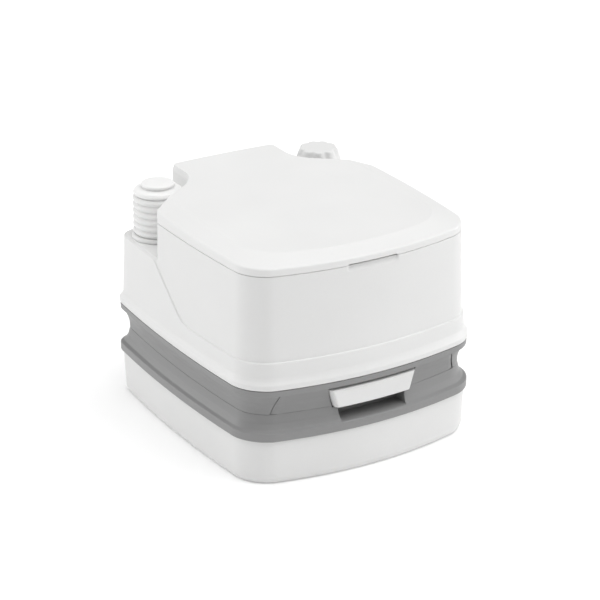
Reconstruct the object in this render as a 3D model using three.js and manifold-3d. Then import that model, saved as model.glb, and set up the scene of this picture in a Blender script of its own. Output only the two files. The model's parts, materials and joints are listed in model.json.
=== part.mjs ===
// Portable cassette toilet: an upper flush-water tank with bowl, seat and lid, on a lower waste tank.
// Millimetres, +Z up, -Y is the front, origin on the floor under the middle of the plan outline.
import * as THREE from 'three';
import { mergeVertices } from 'three/addons/utils/BufferGeometryUtils.js';
import Module from 'manifold-3d';

const wasm = await Module();
wasm.setup();

// Overall size and the plan outline that every level shares.
const WIDTH = 383;
const DEPTH = 427;
const HEIGHT = 330;
const SIDE_BOW = 11.5;
const SIDE_BOW_MIDDLE = -25;
const FRONT_BOW = 30.8;
const REAR_BOW = 9.7;
const FRONT_CORNER = 40;
const REAR_CORNER = 22;
const QUARTER_ARC = 0.5523;
const MEETING_ROUNDS = 12;
const FAR = 400;

// Levels.
const BASE_TOP = 64.5;
const BEAD = { bottom: 65, top: 77 };
const NECK = { z: 99.7, inset: 12 };
const TANK_DECK = 126;
const PAN = { bottom: 131, top: 139.2, lip: 2 };
const RIM_BOTTOM = 139.5;
const CREASE = 178;
const DECK = 298;
const LID_BOTTOM = 298.3;
const LID_LIP_TOP = 308.5;
const LID_FRONT_TOP = 318;
const LID_RISE = 0.0295;
const LID_RISE_FROM = -190;
const BODY_TOP_INSET = 11;

// Walls and gaps.
const WALL = 3;
const GAP = 0.3;

// Pump and filler, one on each rear corner, and the space that the lid and housing leave for them:
// its inner edge runs forwards, turns outwards about a point, and goes straight on to the side.
const CORNER_UNIT = { x: 133, y: 151 };
const NOTCH = { x: 140, y: 165, radius: 55, turn: 55 };
const SHELF = 245;

// The grey waist: [z, inset] of the skirt above the seam, up to the underside of the lip.
const SKIRT = [[110, 11.6], [118, 9.6], [125, 6]];

// Bowl, outlet and slide valve share this vertical line.
const OUTLET = { x: 0, y: -20, radius: 46 };
const BOWL_MIDDLE = -38;

// The hinge line of the seat and lid.
const HINGE = { y: 190, z: 308.5, pin: 2.2, bore: 2.6, ear: 6.5 };
const TROUGH = { halfWidth: 88, front: 172, floor: 291 };

const materials = {
  white: { color: 0xeeeeec, roughness: 0.42 },
  lidWhite: { color: 0xf2f2f0, roughness: 0.45 },
  grey: { color: 0x8f9190, roughness: 0.5 },
  handleWhite: { color: 0xe4e4e2, roughness: 0.4 },
  rubber: { color: 0x2b2b2c, roughness: 0.8 },
  steel: { color: 0xb9bcc0, roughness: 0.3, metalness: 1 },
  innerPlastic: { color: 0xd8d8d5, roughness: 0.5 },
  greenRubber: { color: 0x5d6b63, roughness: 0.75 },
};

const toilet = new THREE.Group();
toilet.name = 'cassette_toilet';

// ---------------------------------------------------------------- shapes

/** A closed geometry as a solid, with its faces turned outwards. */
function solid(geometry) {
  const bare = geometry.clone();
  bare.deleteAttribute('normal');
  bare.deleteAttribute('uv');
  const merged = mergeVertices(bare, 1e-4);
  const place = merged.attributes.position;
  const index = merged.index.array;
  const corners = [];
  const a = new THREE.Vector3();
  const b = new THREE.Vector3();
  const c = new THREE.Vector3();
  let volume = 0;
  for (let i = 0; i < index.length; i += 3) {
    const [p, q, r] = [index[i], index[i + 1], index[i + 2]];
    if (p === q || q === r || r === p) continue;
    corners.push(p, q, r);
    a.fromBufferAttribute(place, p);
    b.fromBufferAttribute(place, q);
    c.fromBufferAttribute(place, r);
    volume += a.dot(b.cross(c));
  }
  if (volume < 0) corners.reverse();
  return new wasm.Manifold(new wasm.Mesh({
    numProp: 3,
    vertProperties: new Float32Array(place.array),
    triVerts: new Uint32Array(corners),
  }));
}

function box(x0, x1, y0, y1, z0, z1) {
  const geometry = new THREE.BoxGeometry(x1 - x0, y1 - y0, z1 - z0);
  geometry.translate((x0 + x1) / 2, (y0 + y1) / 2, (z0 + z1) / 2);
  return solid(geometry);
}

/** An upright cylinder or cone. */
function post(x, y, z0, z1, radius, topRadius = radius, sides = 24) {
  const geometry = new THREE.CylinderGeometry(topRadius, radius, z1 - z0, sides);
  geometry.rotateX(Math.PI / 2);
  geometry.translate(x, y, (z0 + z1) / 2);
  return solid(geometry);
}

/** A cylinder lying along X. */
function bar(x0, x1, y, z, radius, sides = 16) {
  const geometry = new THREE.CylinderGeometry(radius, radius, x1 - x0, sides);
  geometry.rotateZ(Math.PI / 2);
  geometry.translate((x0 + x1) / 2, y, z);
  return solid(geometry);
}

/** A solid of revolution about a vertical line, from [radius, height] pairs that close on themselves. */
function turned(x, y, profile, sides = 20) {
  const points = profile.map(([radius, z]) => new THREE.Vector2(radius, z));
  const [first, last] = [points[0], points[points.length - 1]];
  if (first.x > 0 || last.x > 0) points.push(first.clone());
  const geometry = new THREE.LatheGeometry(points, sides);
  geometry.rotateX(Math.PI / 2);
  geometry.translate(x, y, 0);
  return solid(geometry);
}

/** A plan shape raised from z0 to z1. */
function prism(shape, z0, z1, curveSegments = 8) {
  const geometry = new THREE.ExtrudeGeometry(shape, { depth: z1 - z0, bevelEnabled: false, curveSegments });
  geometry.translate(0, 0, z0);
  return solid(geometry);
}

/** A shape drawn on X and Z, reaching from y0 back to y1. */
function frontPrism(shape, y0, y1) {
  const geometry = new THREE.ExtrudeGeometry(shape, { depth: y1 - y0, bevelEnabled: false });
  geometry.rotateX(Math.PI / 2);
  geometry.translate(0, y1, 0);
  return solid(geometry);
}

/**
 * Half of the plan outline, from front middle to rear middle, moved in by an inset.
 * Rounder adds to its corner radii.
 */
function halfOutline(inset, rounder = 0) {
  const a = WIDTH / 2 - inset;
  const b = DEPTH / 2 - inset;
  const side = {
    at: (y) => a - SIDE_BOW * ((y - SIDE_BOW_MIDDLE) / b) ** 2,
    slope: (y) => (-2 * SIDE_BOW * (y - SIDE_BOW_MIDDLE)) / b ** 2,
  };
  const end = (sign, bow) => ({
    at: (x) => sign * (b - bow * (x / a) ** 2),
    slope: (x) => (-sign * 2 * bow * x) / a ** 2,
  });
  const corner = (edge, sign, radius) => {
    let x = a;
    for (let i = 0; i < MEETING_ROUNDS; i += 1) x = side.at(edge.at(x));
    const onEdge = new THREE.Vector2(x - radius, edge.at(x - radius));
    const sideY = edge.at(x) - sign * radius;
    const onSide = new THREE.Vector2(side.at(sideY), sideY);
    const u = edge.slope(onEdge.x);
    const v = side.slope(sideY);
    const reach = (onSide.x - onEdge.x + v * (onEdge.y - onSide.y)) / (1 - u * v);
    const tip = onEdge.clone().add(new THREE.Vector2(reach, reach * u));
    const [c1, c2] = [onEdge, onSide].map((p) => p.clone().lerp(tip, QUARTER_ARC));
    return new THREE.CubicBezierCurve(onEdge, c1, c2, onSide);
  };
  const front = end(-1, FRONT_BOW);
  const rear = end(1, REAR_BOW);
  const cornerShrink = 0.6;
  const smallest = 4;
  const radiusFor = (full) => Math.max(full - cornerShrink * inset + rounder, smallest);
  const frontCorner = corner(front, -1, radiusFor(FRONT_CORNER));
  const rearCorner = corner(rear, 1, radiusFor(REAR_CORNER));
  const steps = (count, from, to) => {
    const step = (to - from) / count;
    return Array.from({ length: count }, (_, i) => from + step * i);
  };
  const points = steps(3, 0, frontCorner.v0.x).map((x) => new THREE.Vector2(x, front.at(x)));
  points.push(...steps(4, 0, 1).map((t) => frontCorner.getPoint(t)));
  const sideSteps = [
    ...steps(2, frontCorner.v3.y, SIDE_BOW_MIDDLE),
    ...steps(3, SIDE_BOW_MIDDLE, rearCorner.v3.y),
  ];
  points.push(...sideSteps.map((y) => new THREE.Vector2(side.at(y), y)));
  points.push(...steps(3, 1, 0).map((t) => rearCorner.getPoint(t)));
  points.push(...steps(2, rearCorner.v0.x, 0).map((x) => new THREE.Vector2(x, rear.at(x))));
  points.push(new THREE.Vector2(0, rear.at(0)));
  return points;
}

/** The whole plan outline, moved in by an inset. */
function outline(inset, rounder) {
  const right = halfOutline(inset, rounder);
  const left = right.slice(1, -1).reverse().map((p) => new THREE.Vector2(-p.x, p.y));
  return [...right, ...left];
}

/** An ellipse with as many points as asked for. */
function ellipse(y, rx, ry, count = 24) {
  return Array.from({ length: count }, (_, i) => {
    const angle = (2 * Math.PI * i) / count - Math.PI / 2;
    return new THREE.Vector2(rx * Math.cos(angle), y + ry * Math.sin(angle));
  });
}

/** A skin over rings in order. When closed, the last ring leads back to the first. */
function skin(rings, closed = false) {
  const middle = (ring) => {
    const sum = ring.points.reduce((total, p) => total.add(p), new THREE.Vector2());
    return ring.points.map(() => sum.clone().divideScalar(ring.points.length));
  };
  const capped = closed
    ? [...rings, rings[0]]
    : [
      { ...rings[0], points: middle(rings[0]) },
      ...rings,
      { ...rings.at(-1), points: middle(rings.at(-1)) },
    ];
  const count = rings[0].points.length;
  const geometry = new THREE.LatheGeometry(capped.map((_, j) => new THREE.Vector2(1, j)), count);
  const place = geometry.attributes.position;
  for (let i = 0; i <= count; i += 1) {
    capped.forEach((ring, j) => {
      const p = ring.points[i % count];
      const z = typeof ring.z === 'function' ? ring.z(p) : ring.z;
      place.setXYZ(i * capped.length + j, p.x, p.y, z);
    });
  }
  return solid(geometry);
}

/** A solid stack of the plan outline at [z, inset, rounder] levels. */
function stack(levels) {
  return skin(levels.map(([z, inset, rounder]) => ({ z, points: outline(inset, rounder) })));
}

/** The space around a rear corner unit, open to the side and the rear; grow moves its edge outwards. */
function cornerNotch(side, grow) {
  const { x, y, turn } = NOTCH;
  const radius = NOTCH.radius + grow;
  const end = Math.PI + THREE.MathUtils.degToRad(turn);
  const arc = new THREE.Path().absarc(x, y, radius, Math.PI, end, false).getPoints(6);
  const straight = new THREE.Vector2(-Math.sin(end), Math.cos(end)).multiplyScalar(FAR).add(arc.at(-1));
  const points = [new THREE.Vector2(x - radius, FAR), ...arc, straight, new THREE.Vector2(FAR, FAR)];
  return new THREE.Shape(points.map((p) => new THREE.Vector2(side * p.x, p.y)));
}

function polygon(corners) {
  return new THREE.Shape(corners.map(([x, y]) => new THREE.Vector2(x, y)));
}

/** Puts a solid into the toilet as a named mesh. */
function add(name, body, material) {
  const mesh = body.getMesh();
  const geometry = new THREE.BufferGeometry();
  geometry.setAttribute('position', new THREE.BufferAttribute(new Float32Array(mesh.vertProperties), 3));
  geometry.setIndex(new THREE.BufferAttribute(new Uint32Array(mesh.triVerts), 1));
  geometry.computeVertexNormals();
  const piece = new THREE.Mesh(geometry, new THREE.MeshStandardMaterial(materials[material]));
  piece.name = name;
  toilet.add(piece);
}

// ---------------------------------------------------------------- waste tank

const FINGER = { halfWidth: 55, bottom: 79, top: 123, back: -181 };
const HANDLE = { top: 127, bottom: 98.5, topHalf: 69, bottomHalf: 60, back: -199, front: -211 };
const BLADE = { halfWidth: 52, low: 114.5, high: 118.5, front: -204, rear: 34 };
const VALVE_FRAME = { halfWidth: 66, low: 110.5, rear: 52, slot: 0.5 };
const SCREW = { x: 60, front: -150, rear: 46, hole: 2.4, shank: 2, head: 4, headHeight: 3 };
const PANEL = { topHalf: 143, bottomHalf: 155, top: 130.4, back: 20, solidHalf: 75 };
const SPOUT = { x: 128, y: 176, z: 105, radius: 19, bore: 16, end: 50, bottom: 66 };
const SPOUT_POCKET = { left: 14, right: 154, front: 151, floor: 78 };
const GRIP_POCKET = { left: -150, right: -84, front: 160, floor: 96 };
const VENT = { x: -117, y: 181, radius: 9, hole: 5 };
const LATCH = { x: -30, halfWidth: 17, y: 204.5, z: 86, pin: 2, floor: 79.5, openDegrees: 6 };
const CATCH = { halfWidth: 20, outer: 199, inner: 193, top: 150 };

function wasteTankBase() {
  const outside = stack([[0, 10], [3, 7], [10, 5.5], [BASE_TOP, 3.5]]);
  const inside = stack([[WALL, 15], [8, 10.5], [14, 8.8], [BASE_TOP + 1, 6.6]]);
  add('waste_tank_base', outside.subtract(inside), 'white');
}

/** The handle's outline seen from the front; grow moves it outwards. */
function handleFace(grow) {
  const { top, bottom, topHalf, bottomHalf } = HANDLE;
  return polygon([
    [-bottomHalf - grow, bottom - grow], [bottomHalf + grow, bottom - grow],
    [topHalf + grow, top + grow], [-topHalf - grow, top + grow],
  ]);
}

/** The part of the grey band that the waste tank's front panel fills; grow widens it. */
function panelWedge(grow) {
  const { topHalf, bottomHalf } = PANEL;
  const low = NECK.z - WALL;
  const face = polygon([
    [-bottomHalf - grow, low], [bottomHalf + grow, low],
    [topHalf + grow, PAN.bottom - 0.1], [-topHalf - grow, PAN.bottom - 0.1],
  ]);
  return frontPrism(face, -FAR, -100);
}

function wasteTankTop() {
  const plateau = 18;
  const soft = 1.5;
  const bead = [
    [BEAD.bottom, soft], [BEAD.bottom + soft, 0], [BEAD.top - soft, 0], [BEAD.top, soft],
    [80, 5], [88, 9], [NECK.z, NECK.inset],
  ];
  const outside = stack(bead).add(stack([[NECK.z - WALL, plateau], [TANK_DECK, plateau]]));
  const thinner = ([z, inset]) => [z, inset + WALL];
  const waist = [[NECK.z - WALL, NECK.inset + 0.6], ...SKIRT];
  const band = stack([...waist, [PANEL.top, PAN.lip]]);
  const thinBand = stack([...waist.map(thinner), [FAR, PAN.lip + WALL]]);
  const behindPanel = stack([[90, PANEL.back], [FAR, PANEL.back]]);
  const panel = band.intersect(panelWedge(0))
    .subtract(thinBand.subtract(box(-PANEL.solidHalf, PANEL.solidHalf, -FAR, 0, 0, FAR)))
    .subtract(behindPanel);

  const finger = FINGER;
  const fingerBlock = box(
    -finger.halfWidth - WALL, finger.halfWidth + WALL,
    -FAR, finger.back + WALL, finger.bottom - WALL, TANK_DECK,
  );
  const fingerHole = box(
    -finger.halfWidth, finger.halfWidth, -FAR, finger.back, finger.bottom, finger.top,
  );
  const bladeSlot = box(
    -BLADE.halfWidth - 1, BLADE.halfWidth + 1, -FAR, finger.back + 2 * WALL,
    BLADE.low - VALVE_FRAME.slot, BLADE.high + VALVE_FRAME.slot,
  );
  const handleSeat = frontPrism(handleFace(1.2), -FAR, HANDLE.back + 5);

  const pocket = SPOUT_POCKET;
  const spoutBlock = box(
    pocket.left - WALL, pocket.right + WALL, pocket.front - WALL, FAR, pocket.floor - WALL, TANK_DECK,
  );
  const spoutSpace = box(pocket.left, pocket.right, pocket.front, FAR, pocket.floor, FAR);
  const grip = GRIP_POCKET;
  const gripBlock = box(
    grip.left - WALL, grip.right + WALL, grip.front - WALL, FAR, grip.floor - WALL, TANK_DECK,
  );
  const gripSpace = box(grip.left, grip.right, grip.front, FAR, grip.floor, FAR);

  const latchHalf = LATCH.halfWidth + 1.3;
  const latchSpace = box(
    LATCH.x - latchHalf, LATCH.x + latchHalf, CATCH.outer, FAR, LATCH.floor, FAR,
  );
  const latchBlock = box(
    LATCH.x - latchHalf - WALL, LATCH.x + latchHalf + WALL,
    CATCH.outer - WALL, FAR, LATCH.floor - WALL, NECK.z,
  );

  const hollow = stack([
    [BEAD.bottom - 1, 11], [BEAD.bottom + WALL, 11], [BEAD.bottom + WALL + 0.5, 4], [74.5, 4], [79, 8],
    [87, 12], [NECK.z - WALL, 15],
  ])
    .add(stack([[BEAD.bottom + WALL, plateau + WALL], [TANK_DECK - WALL, plateau + WALL]]))
    .subtract(fingerBlock)
    .subtract(spoutBlock)
    .subtract(gripBlock)
    .subtract(latchBlock);

  const lug = { gap: 1.5, thick: 4, radius: 6 };
  const lugs = [-1, 1].map((side) => {
    const near = LATCH.x + side * (LATCH.halfWidth + lug.gap);
    const far = near + side * lug.thick;
    const [x0, x1] = [Math.min(near, far), Math.max(near, far)];
    const foot = box(x0, x1, CATCH.outer - 1, LATCH.y, LATCH.z - lug.radius, LATCH.z + lug.radius);
    return foot.add(bar(x0, x1, LATCH.y, LATCH.z, lug.radius));
  });

  let body = outside.add(panel).subtract(hollow);
  lugs.forEach((part) => {
    body = body.add(part);
  });
  body = body
    .subtract(fingerHole)
    .subtract(bladeSlot)
    .subtract(handleSeat)
    .subtract(spoutSpace)
    .subtract(gripSpace)
    .subtract(latchSpace)
    .subtract(post(OUTLET.x, OUTLET.y, TANK_DECK - 2 * WALL, FAR, OUTLET.radius))
    .subtract(post(SPOUT.x, SPOUT.y, pocket.floor - 2 * WALL, FAR, SPOUT.radius + 0.5))
    .subtract(post(VENT.x, VENT.y, grip.floor - 2 * WALL, FAR, VENT.hole, VENT.hole, 12))
    .subtract(bar(LATCH.x - 30, LATCH.x + 30, LATCH.y, LATCH.z, LATCH.pin + GAP, 12));
  screwPlaces().forEach(([x, y]) => {
    body = body.subtract(post(x, y, TANK_DECK - 2 * WALL, TANK_DECK - 1, SCREW.hole, SCREW.hole, 8));
  });
  add('waste_tank_top', body, 'grey');
}

/** Where the four screws of the valve frame stand. */
function screwPlaces() {
  const { x, front, rear } = SCREW;
  return [[-x, front], [x, front], [-x, rear], [x, rear]];
}

function slideValve() {
  const { halfWidth, low, rear, slot } = VALVE_FRAME;
  const frameTop = TANK_DECK - WALL - GAP;
  const frameFront = FINGER.back + WALL + GAP;
  let frame = box(-halfWidth, halfWidth, frameFront, rear, low, frameTop)
    .subtract(box(
      -BLADE.halfWidth - 1, BLADE.halfWidth + 1, -FAR, BLADE.rear + 4, BLADE.low - slot, BLADE.high + slot,
    ))
    .subtract(post(OUTLET.x, OUTLET.y, low - 1, FAR, OUTLET.radius));
  screwPlaces().forEach(([x, y]) => {
    frame = frame.subtract(post(x, y, low - 1, FAR, SCREW.hole, SCREW.hole, 8));
  });
  add('valve_frame', frame, 'innerPlastic');

  screwPlaces().forEach(([x, y], i) => {
    const head = post(x, y, low - GAP - SCREW.headHeight, low - GAP, SCREW.head, SCREW.head, 8);
    const shank = post(x, y, low - 1, TANK_DECK - 1.5, SCREW.shank, SCREW.shank, 8);
    add(`valve_screw_${i + 1}`, head.add(shank), 'steel');
  });

  const blade = box(-BLADE.halfWidth, BLADE.halfWidth, BLADE.front, BLADE.rear, BLADE.low, BLADE.high);
  add('valve_blade', blade, 'innerPlastic');

  const { front, back, top, bottom, topHalf, bottomHalf } = HANDLE;
  const bow = (x) => FRONT_BOW * (x / (WIDTH / 2)) ** 2;
  const bevel = 5;
  const face = (y, shrink) => {
    const upright = shrink * 0.3;
    const corners = [
      [-bottomHalf + shrink, bottom + upright], [bottomHalf - shrink, bottom + upright],
      [topHalf - shrink, top - upright], [-topHalf + shrink, top - upright],
    ];
    return corners.map(([x, z]) => new THREE.Vector3(x, y + bow(x), z));
  };
  const rings = [face(back, 0), face(front + bevel, 0), face(front, bevel)];
  const grip = facetedBlock(rings)
    .subtract(box(
      -BLADE.halfWidth - GAP, BLADE.halfWidth + GAP,
      BLADE.front - GAP, 0, BLADE.low - GAP, BLADE.high + GAP,
    ));
  add('valve_handle', grip, 'handleWhite');

  const seal = { inner: OUTLET.radius + 0.5, outer: 56, bottom: TANK_DECK + GAP, top: 129.4 };
  const lip = turned(OUTLET.x, OUTLET.y, [
    [seal.inner, seal.bottom], [seal.outer, seal.bottom], [seal.outer, seal.bottom + 1.2],
    [seal.outer - 5, seal.top], [seal.inner, seal.top],
  ]);
  add('valve_lip_seal', lip, 'greenRubber');
}

/** A block over four-cornered rings of points. */
function facetedBlock(rings) {
  const count = rings[0].length;
  const layers = [null, ...rings, null];
  const geometry = new THREE.LatheGeometry(layers.map((_, j) => new THREE.Vector2(1, j)), count);
  const place = geometry.attributes.position;
  const middle = (ring) => ring.reduce((total, p) => total.add(p), new THREE.Vector3()).divideScalar(count);
  for (let i = 0; i <= count; i += 1) {
    layers.forEach((ring, j) => {
      const end = j === 0 ? middle(rings[0]) : middle(rings.at(-1));
      const p = ring ? ring[i % count] : end;
      place.setXYZ(i * layers.length + j, p.x, p.y, p.z);
    });
  }
  return solid(geometry);
}

function pourOutSpout() {
  const { x, y, z, radius, bore, end, bottom } = SPOUT;
  const ball = (r) => {
    const geometry = new THREE.SphereGeometry(r, 24, 12);
    geometry.translate(x, y, z);
    return solid(geometry);
  };
  const pipe = (r, from, to) => bar(from, to, y, z, r, 24);
  const outside = post(x, y, bottom, z, radius).add(ball(radius)).add(pipe(radius, end, x));
  const inside = post(x, y, bottom - 1, z, bore).add(ball(bore)).add(pipe(bore, end - 1, x));
  add('pour_out_spout', outside.subtract(inside), 'grey');

  const floor = SPOUT_POCKET.floor;
  const wire = 1.6;
  const ring = new THREE.Shape().absarc(radius + wire + 0.4, floor + wire + GAP, wire, 0, 2 * Math.PI);
  const section = ring.getPoints(3).slice(0, -1).map((p) => [p.x, p.y]);
  add('spout_o_ring', turned(x, y, section, 24), 'rubber');
  const clip = { inner: radius + GAP, outer: radius + 3.5, low: 70.5, high: floor - WALL - GAP };
  add('spout_retaining_ring', turned(x, y, [
    [clip.inner, clip.high], [clip.outer, clip.high], [clip.outer, clip.low], [clip.inner, clip.low],
  ], 24), 'innerPlastic');

  const cap = { outer: 23.5, bore: radius + 0.6, face: end - 9, inner: end - 5, mouth: end + 15 };
  const flute = { count: 12, out: 25.5, radius: 3.4 };
  let shell = bar(cap.face, cap.mouth, y, z, cap.outer, 24)
    .subtract(bar(cap.inner, cap.mouth + 1, y, z, cap.bore, 24));
  for (let i = 0; i < flute.count; i += 1) {
    const angle = (2 * Math.PI * i) / flute.count;
    const [fy, fz] = [y + flute.out * Math.cos(angle), z + flute.out * Math.sin(angle)];
    shell = shell.subtract(bar(cap.face - 1, cap.mouth + 1, fy, fz, flute.radius, 8));
  }
  add('spout_cap', shell, 'white');
  const gasket = bar(cap.inner + GAP, end - 2, y, z, radius, 24)
    .subtract(bar(cap.inner - 1, end + 1, y, z, 10, 24));
  add('spout_cap_gasket', gasket, 'rubber');
}

function vent() {
  const { x, y, radius, hole } = VENT;
  const floor = GRIP_POCKET.floor;
  const top = floor + 13;
  const stem = { radius: hole - 2, low: floor - 6 };
  const cup = { inner: radius - 2, low: floor + 6, edge: 1.5 };
  const button = turned(x, y, [
    [0, top], [radius - cup.edge, top], [radius, top - cup.edge], [radius, cup.low], [cup.inner, cup.low],
    [cup.inner, top - WALL], [stem.radius, top - WALL], [stem.radius, stem.low], [0, stem.low],
  ], 20);
  add('vent_button', button, 'innerPlastic');
  const disc = { inner: stem.radius + GAP, outer: hole + 3, high: floor - WALL - 0.4, thick: 2 };
  const seal = turned(x, y, [
    [disc.inner, disc.high], [disc.outer, disc.high],
    [disc.outer, disc.high - disc.thick], [disc.inner, disc.high - disc.thick],
  ], 20);
  add('vent_seal', seal, 'rubber');
  const coil = { radius: 5.2, wire: 0.6, turns: 4, low: floor + 0.9, high: top - WALL - 0.9 };
  class Helix extends THREE.Curve {
    getPoint(t) {
      const angle = 2 * Math.PI * coil.turns * t;
      const height = coil.low + (coil.high - coil.low) * t;
      return new THREE.Vector3(x + coil.radius * Math.cos(angle), y + coil.radius * Math.sin(angle), height);
    }
  }
  const wire = new THREE.Shape().absarc(0, 0, coil.wire, 0, 2 * Math.PI);
  const options = { steps: 32, curveSegments: 3, extrudePath: new Helix(), bevelEnabled: false };
  add('vent_spring', solid(new THREE.ExtrudeGeometry(wire, options)), 'steel');
}

function rearLatch() {
  const { x, halfWidth, y, z, pin, openDegrees } = LATCH;
  const hook = { low: 141.5, high: 146, reach: 194.8, half: halfWidth - 4 };
  const rib = { low: 124, high: 129, out: 4.5, half: halfWidth - 3 };
  const knuckle = 5;
  const pinEnd = 5.2;
  const plate = box(x - halfWidth, x + halfWidth, y - 3, y + 1.5, z, hook.high)
    .add(bar(x - halfWidth, x + halfWidth, y, z, knuckle, 16))
    .add(box(x - hook.half, x + hook.half, hook.reach, y, hook.low, hook.high))
    .add(box(x - rib.half, x + rib.half, y, y + rib.out, rib.low, rib.high))
    .subtract(bar(x - 40, x + 40, y, z, pin + GAP, 12));
  const swung = plate.translate([0, -y, -z]).rotate([-openDegrees, 0, 0]).translate([0, y, z]);
  add('rear_latch', swung, 'grey');
  add('latch_pin', bar(x - halfWidth - pinEnd, x + halfWidth + pinEnd, y, z, pin, 12), 'steel');
}

// ---------------------------------------------------------------- flush tank

function flushTankFloor() {
  const { bottom, top, lip } = PAN;
  const rim = 8;
  const wall = 3.5;
  const inner = SKIRT.map(([z, inset]) => [z, inset + wall]);
  const skirt = stack([[NECK.z + GAP, NECK.inset], ...SKIRT, [bottom, lip], [top, lip - 0.5]])
    .subtract(stack([[NECK.z, NECK.inset + wall], ...inner, [bottom, lip + wall + 0.5]]))
    .subtract(stack([[bottom + WALL, rim], [FAR, rim]]));
  const pocket = SPOUT_POCKET;
  const grip = GRIP_POCKET;
  const under = bottom - GAP / 2;
  const catchBlock = box(
    LATCH.x - CATCH.halfWidth, LATCH.x + CATCH.halfWidth, 186, CATCH.outer, bottom, top,
  );
  const wayHalf = CATCH.halfWidth + 6;
  const latchWay = box(LATCH.x - wayHalf, LATCH.x + wayHalf, CATCH.outer, FAR, 0, FAR);
  const body = skirt
    .subtract(panelWedge(1.2))
    .subtract(box(pocket.left - 6, pocket.right + 2, 140, FAR, 0, under))
    .subtract(box(grip.left, grip.right, 140, FAR, 0, under))
    .subtract(latchWay)
    .add(catchBlock)
    .subtract(post(OUTLET.x, OUTLET.y, 0, FAR, OUTLET.radius + 5));
  add('flush_tank_floor', body, 'grey');
}

/** Where the finger notch in the front of the housing is scooped out. */
function fingerScoop(halfLength, radius) {
  return bar(-halfLength, halfLength, -211, DECK, radius, 24);
}

function flushTankHousing() {
  const outside = stack([
    [RIM_BOTTOM, 0.5], [RIM_BOTTOM + 1.5, 0], [147, 0], [150.5, 3], [156, 6],
    [CREASE, 8], [DECK, BODY_TOP_INSET],
  ]);
  const notch = (grow, from) => prism(cornerNotch(-1, grow), from, FAR);
  const trough = (grow) => box(
    -TROUGH.halfWidth - grow, TROUGH.halfWidth + grow,
    TROUGH.front - grow, FAR, TROUGH.floor - grow, FAR,
  );
  const rimHole = { rx: 115, ry: 135 };
  const neck = { outer: 26, bore: 22, top: 314 };
  const { x, y } = CORNER_UNIT;
  const tube = { hole: 8.6 };
  const hose = { x: 26 - x, y: y - 14, hole: 5 };
  const catchHalf = CATCH.halfWidth + 2;
  const catchSpace = box(LATCH.x - catchHalf, LATCH.x + catchHalf, CATCH.inner, FAR, 0, CATCH.top);
  const catchWall = box(
    LATCH.x - catchHalf - WALL, LATCH.x + catchHalf + WALL, CATCH.inner - WALL, FAR, 0, CATCH.top + WALL,
  );
  const hollow = stack([
    [RIM_BOTTOM - 9, 6], [150.5, 8], [156, 9.5], [CREASE, 11.2], [DECK - WALL, BODY_TOP_INSET + WALL],
  ])
    .subtract(notch(WALL, SHELF - WALL))
    .subtract(trough(WALL))
    .subtract(catchWall)
    .subtract(fingerScoop(44, 19));
  const body = outside
    .subtract(hollow)
    .subtract(notch(0, SHELF))
    .subtract(trough(0))
    .subtract(catchSpace)
    .subtract(fingerScoop(40, 16))
    .subtract(skin([
      { z: DECK - 18, points: ellipse(BOWL_MIDDLE, rimHole.rx, rimHole.ry) },
      { z: FAR, points: ellipse(BOWL_MIDDLE, rimHole.rx, rimHole.ry) },
    ]))
    .add(post(x, y, DECK - WALL, neck.top, neck.outer, neck.outer, 24))
    .subtract(post(x, y, DECK - 2 * WALL, FAR, neck.bore, neck.bore, 24))
    .subtract(post(-x, y, SHELF - 2 * WALL, FAR, tube.hole, tube.hole, 16))
    .subtract(post(hose.x, hose.y, SHELF - 2 * WALL, SHELF + 1, hose.hole, hose.hole, 12))
    .add(hingeEars());
  add('flush_tank_housing', body, 'white');
}

/** One ear of the hinge: a block from the piece to the hinge line, rounded about it. */
function ear(x0, x1, block) {
  const { y, z, bore, ear: radius } = HINGE;
  return box(x0, x1, ...block).add(bar(x0, x1, y, z, radius)).subtract(bar(x0 - 1, x1 + 1, y, z, bore, 12));
}

const EARS = { housing: [36, 42], seat: [43, 51], lid: [52, 60], pin: [34.5, 61.5] };

function mirrored([near, far], side) {
  return side > 0 ? [near, far] : [-far, -near];
}

function hingeEars() {
  const { y, ear: radius, z } = HINGE;
  const [left, right] = [-1, 1].map((side) => ear(
    ...mirrored(EARS.housing, side), [y - radius, y + radius, TROUGH.floor - 1, z],
  ));
  return left.add(right);
}

function bowl() {
  const wall = 2.6;
  const foot = 129.8;
  const flange = { rx: 120, ry: 140, low: DECK + GAP, high: 300.3, innerRx: 110.6, innerRy: 130.6 };
  const rings = [
    [flange.high, 108, 128, BOWL_MIDDLE], [290, 106, 126, -37], [265, 95, 112, -34],
    [235, 74, 84, -28], [212, 51, 54, -21.5],
    [203, OUTLET.radius, OUTLET.radius, OUTLET.y], [foot, OUTLET.radius, OUTLET.radius, OUTLET.y],
  ];
  const inside = rings.map(([z, rx, ry, y]) => ({ z, points: ellipse(y, rx, ry) }));
  const outside = rings.slice(1).reverse().map(([z, rx, ry, y]) => ({
    z: z === foot ? z : z - 1,
    points: ellipse(y, rx + wall, ry + wall),
  }));
  const rim = [
    { z: flange.low, points: ellipse(BOWL_MIDDLE, flange.innerRx, flange.innerRy) },
    { z: flange.low, points: ellipse(BOWL_MIDDLE, flange.rx, flange.ry) },
    { z: flange.high, points: ellipse(BOWL_MIDDLE, flange.rx, flange.ry) },
  ];
  const body = skin([...inside, ...outside, ...rim], true)
    .subtract(post(NOZZLE.x, NOZZLE.y, NOZZLE.low, NOZZLE.high, NOZZLE.radius, NOZZLE.radius, 12));
  add('bowl', body, 'lidWhite');
  const gasket = { inner: OUTLET.radius + 3.1, outer: 56, low: 134.4, high: 138 };
  add('bowl_outlet_gasket', turned(OUTLET.x, OUTLET.y, [
    [gasket.inner, gasket.low], [gasket.outer, gasket.low],
    [gasket.outer, gasket.high], [gasket.inner, gasket.high],
  ], 24), 'rubber');
}

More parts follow.
